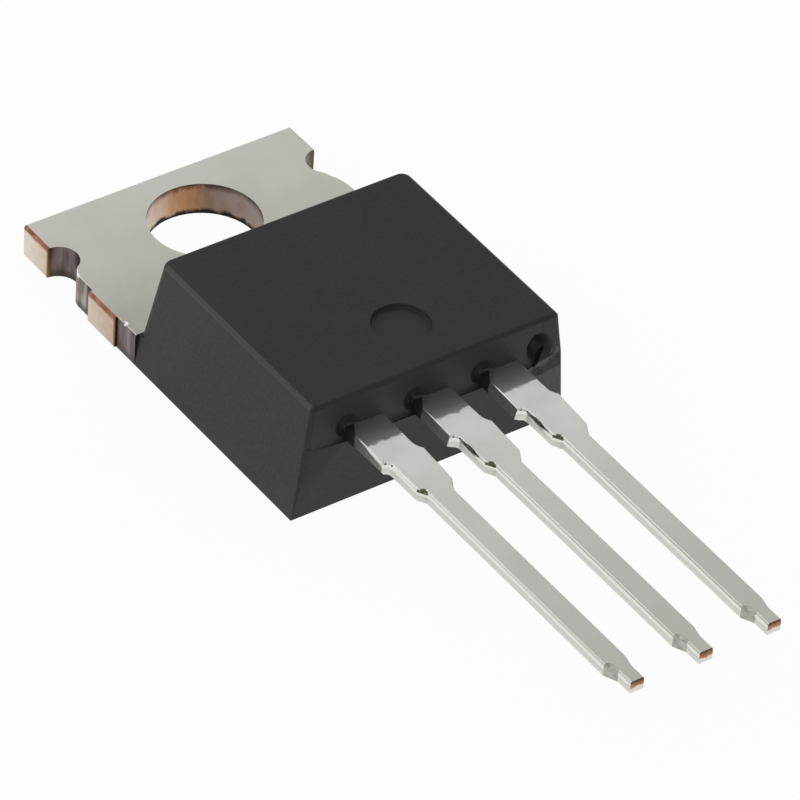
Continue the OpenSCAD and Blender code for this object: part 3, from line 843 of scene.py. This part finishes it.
def dress_lead(lead, centre_x):
    """Gives a lead's sides, marks and cropped end their finishes."""
    root = Vector((centre_x, end_wall_y, lead_top))
    dress_faces(lead, side_tin, lambda at, normal: abs(normal.z) < 0.2 and at.y < side_from_y)
    # Painted shade on the taper facet
    dress_faces(lead, taper_shade_tin, lambda at, normal:
                at.x < centre_x and abs(normal.z) < 0.99 and taper_to_y - weld < at.y < taper_shade_from_y)
    dress_faces(lead, scored_tin, lambda at, normal:
                abs(normal.z) < 0.99
                and ((at - root - smear_place).length < smear_scored
                     or (at - root - nick_place).length < nick_scored
                     or in_scoop(at - root - scoop_place, normal)))
    dress_faces(lead, cropped_end, lambda at, normal: normal.y < -0.99 and at.y < lead_end_y + weld)


for finish in (matt_tin, bright_tin, sheared_copper, punched_copper, punched_tin, tarnish,
               side_tin, taper_shade_tin, scored_tin, cropped_end):
    drain.data.materials.append(finish)
edit(drain)
dress_faces(drain, punched_tin, lambda at, normal:
            abs(normal.z) < 0.5 and at.y > tab_wall_y - weld and at.z < tab_thickness)
dress_faces(drain, matt_tin, lambda at, normal: normal.y > 0.9 and at.y > tab_end_y - weld)
dress_faces(drain, bright_tin, lambda at, normal: at.y < thin_strip_y)
dress_faces(drain, sheared_copper, lambda at, normal:
            abs(normal.x) > 0.05
            and ((abs(at.x) > stub_x - rolled_in and stub_to_y - weld < at.y < stub_from_y + weld)
                 or (abs(at.x) > corner_x - rolled_in and at.y > corner_from_y)))
dress_faces(drain, tarnish, lambda at, normal:
            abs(normal.y) > 0.5 and abs(at.x) > corner_x - weld and at.y < stub_from_y + weld)
dress_faces(drain, punched_copper, lambda at, normal:
            at.xy.length < hole_radius + weld and abs(normal.z) < 0.5)

# The rolled lip beside the notch and the small chip get the lighter, glossier bright tin: a painted
# highlight
dress_faces(drain, bright_tin, lambda at, normal:
            abs(at.x) > hole_radius and lip_to_y < at.y < notch_y - notch_radius and 0.1 < normal.z < 0.98)
dress_faces(drain, bright_tin, lambda at, normal:
            (at - chip_place).length < chip_radius and normal.z < 0.98 and abs(normal.y) > 0.01)
dress_lead(drain, 0)
smooth(drain)
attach(drain, "root")
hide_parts("drain_frame")

# ---------------------------------------------------------------- gate and source leads
# The outer leads are stamped from the thin strip and tinned, and the body holds their inner posts.
# The dam bar between them was sheared away after moulding and their tips were cropped last. The
# tool pushed out the torn point of every lead but the gate's.

for node, name, lead_x in (("gate_lead", "gate_lead_stamping", -lead_pitch),
                           ("source_lead", "source_lead_stamping", lead_pitch)):
    lead = merged_copy(node, name)
    finish_lead(lead, lead_x, flap_out if lead_x > 0 else 0)
    for finish in (bright_tin, side_tin, taper_shade_tin, scored_tin, cropped_end):
        lead.data.materials.append(finish)
    edit(lead)
    dress_lead(lead, lead_x)
    smooth(lead)
    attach(lead, "root")
    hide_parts(node)

# ---------------------------------------------------------------- chip, solder and bond wires
# Sealed in the body: a silicon chip on soft solder, three thick source wires and one thin gate wire
# of aluminium, bonded cold to the chip and to the posts of the leads.

soft_solder = new_material("soft_solder")
place = add(soft_solder, "ShaderNodeTexCoord").outputs["Object"]
cloud = add(soft_solder, "ShaderNodeTexNoise", {"Vector": place, "Scale": 1 / (0.4 * mm), "Detail": 2.0})
tone = add(soft_solder, "ShaderNodeValToRGB", {"Fac": cloud.outputs["Fac"]},
           [(0.3, linear("#85888c")), (0.7, linear("#9a9da1"))])
finish_material(soft_solder, add(
    soft_solder, "ShaderNodeBsdfPrincipled",
    {"Base Color": tone.outputs["Color"], "Metallic": 1.0, "Roughness": 0.35}))

silicon = new_material("passivated_silicon")
place = add(silicon, "ShaderNodeTexCoord").outputs["Object"]
cells = add(silicon, "ShaderNodeTexNoise", {"Vector": place, "Scale": 1 / (0.2 * mm), "Detail": 1.0})
tone = add(silicon, "ShaderNodeValToRGB", {"Fac": cells.outputs["Fac"]},
           [(0.3, linear("#454b55")), (0.7, linear("#525a66"))])
finish_material(silicon, add(
    silicon, "ShaderNodeBsdfPrincipled",
    {"Base Color": tone.outputs["Color"], "Roughness": 0.2, "IOR": 2.0}))

bond_wire = new_material("drawn_aluminium_wire")
place = add(bond_wire, "ShaderNodeTexCoord").outputs["Object"]
draw = add(bond_wire, "ShaderNodeTexNoise", {"Vector": place, "Scale": 1 / (0.1 * mm), "Detail": 1.0})
tone = add(bond_wire, "ShaderNodeValToRGB", {"Fac": draw.outputs["Fac"]},
           [(0.3, linear("#cfd1d3")), (0.7, linear("#dcdee0"))])
finish_material(bond_wire, add(
    bond_wire, "ShaderNodeBsdfPrincipled",
    {"Base Color": tone.outputs["Color"], "Metallic": 1.0, "Roughness": 0.3}))

solid_finishes = {
    "epoxy_body": moulding_compound,
    "drain_frame": matt_tin,
    "gate_lead": bright_tin,
    "source_lead": bright_tin,
    "die_solder": soft_solder,
    "silicon_die": silicon,
    "source_wire_1": bond_wire,
    "source_wire_2": bond_wire,
    "source_wire_3": bond_wire,
    "gate_wire": bond_wire,
}
for node, finish in solid_finishes.items():
    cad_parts[node].data.materials.clear()
    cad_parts[node].data.materials.append(finish)

# ---------------------------------------------------------------- table
# A plain white table, on which the part lies on its heat-sink face.

table_size = 800 * mm
table_z = -0.01 * mm
table_glow = 0.95
deselect()
bpy.ops.mesh.primitive_plane_add(size=table_size, location=(0, 0, table_z))
bpy.ops.object.transform_apply(location=True, rotation=True, scale=True)
table = bpy.context.object
table.name = "table"

# White to the camera and in reflections, with the part's soft shadow left in it
table_white = new_material("white_table")
rays = add(table_white, "ShaderNodeLightPath")
direct = add(table_white, "ShaderNodeMath",
             {0: rays.outputs["Is Camera Ray"], 1: rays.outputs["Is Glossy Ray"]}, operation="MAXIMUM")
seen = add(table_white, "ShaderNodeMath",
           {0: direct.outputs["Value"], 1: rays.outputs["Is Transmission Ray"]}, operation="MAXIMUM")
share = add(table_white, "ShaderNodeMath",
            {0: seen.outputs["Value"], 1: table_glow}, operation="MULTIPLY")
matt = add(table_white, "ShaderNodeBsdfDiffuse", {"Color": linear("#f0f0f0")})
glow = add(table_white, "ShaderNodeEmission", {"Color": (1, 1, 1, 1), "Strength": 1.0})
finish_material(table_white, add(
    table_white, "ShaderNodeMixShader",
    {0: share.outputs["Value"], 1: matt.outputs["BSDF"], 2: glow.outputs["Emission"]}))
table.data.materials.append(table_white)

# ---------------------------------------------------------------- light
# A pale studio all round, a broad soft lamp high on the left, and a weak one behind, which the tops
# mirror. A lamp has its place and size in metres and its power in watts.

lamp_aim = Vector((0, -0.01, 0))
studio_strength = 0.6

world = bpy.data.worlds.new("studio")
world.use_nodes = True
background = world.node_tree.nodes["Background"]
background.inputs["Color"].default_value = linear("#ffffff")
background.inputs["Strength"].default_value = studio_strength
bpy.context.scene.world = world

for name, lamp_place, size, power in (("left_lamp", Vector((-0.4, 0.4, 0.35)), 1.2, 2.0),
                                      ("back_lamp", Vector((0.37, 0.5, 0.51)), 0.5, 0.12)):
    deselect()
    bpy.ops.object.light_add(type="AREA", location=lamp_place)
    lamp = bpy.context.object
    lamp.name = name
    lamp.data.shape = "DISK"
    lamp.data.size = size
    lamp.data.energy = power
    lamp.rotation_euler = (lamp_place - lamp_aim).to_track_quat("Z", "Y").to_euler()

# ---------------------------------------------------------------- camera
# A long lens from high on the left of the leads, turned a little about its own axis.

camera_azimuth = math.radians(-36.913)
camera_elevation = math.radians(39.276)
camera_roll = math.radians(3.853)
camera_distance = 230 * mm
camera_aim = Vector((1.286, -9.378, -0.236)) * mm
camera_lens = 327.21

back = Vector((math.sin(camera_azimuth) * math.cos(camera_elevation),
               -math.cos(camera_azimuth) * math.cos(camera_elevation),
               math.sin(camera_elevation)))
right = Vector((math.cos(camera_azimuth), math.sin(camera_azimuth), 0))
turn = Matrix((right, back.cross(right), back)).transposed() @ Matrix.Rotation(camera_roll, 3, "Z")
deselect()
bpy.ops.object.camera_add(location=camera_aim + back * camera_distance, rotation=turn.to_euler())
camera = bpy.context.object
camera.data.sensor_width = 36
camera.data.lens = camera_lens
camera.data.clip_start = 1 * mm
camera.data.clip_end = 10
bpy.context.scene.camera = camera
bpy.context.scene.view_settings.view_transform = "Standard"
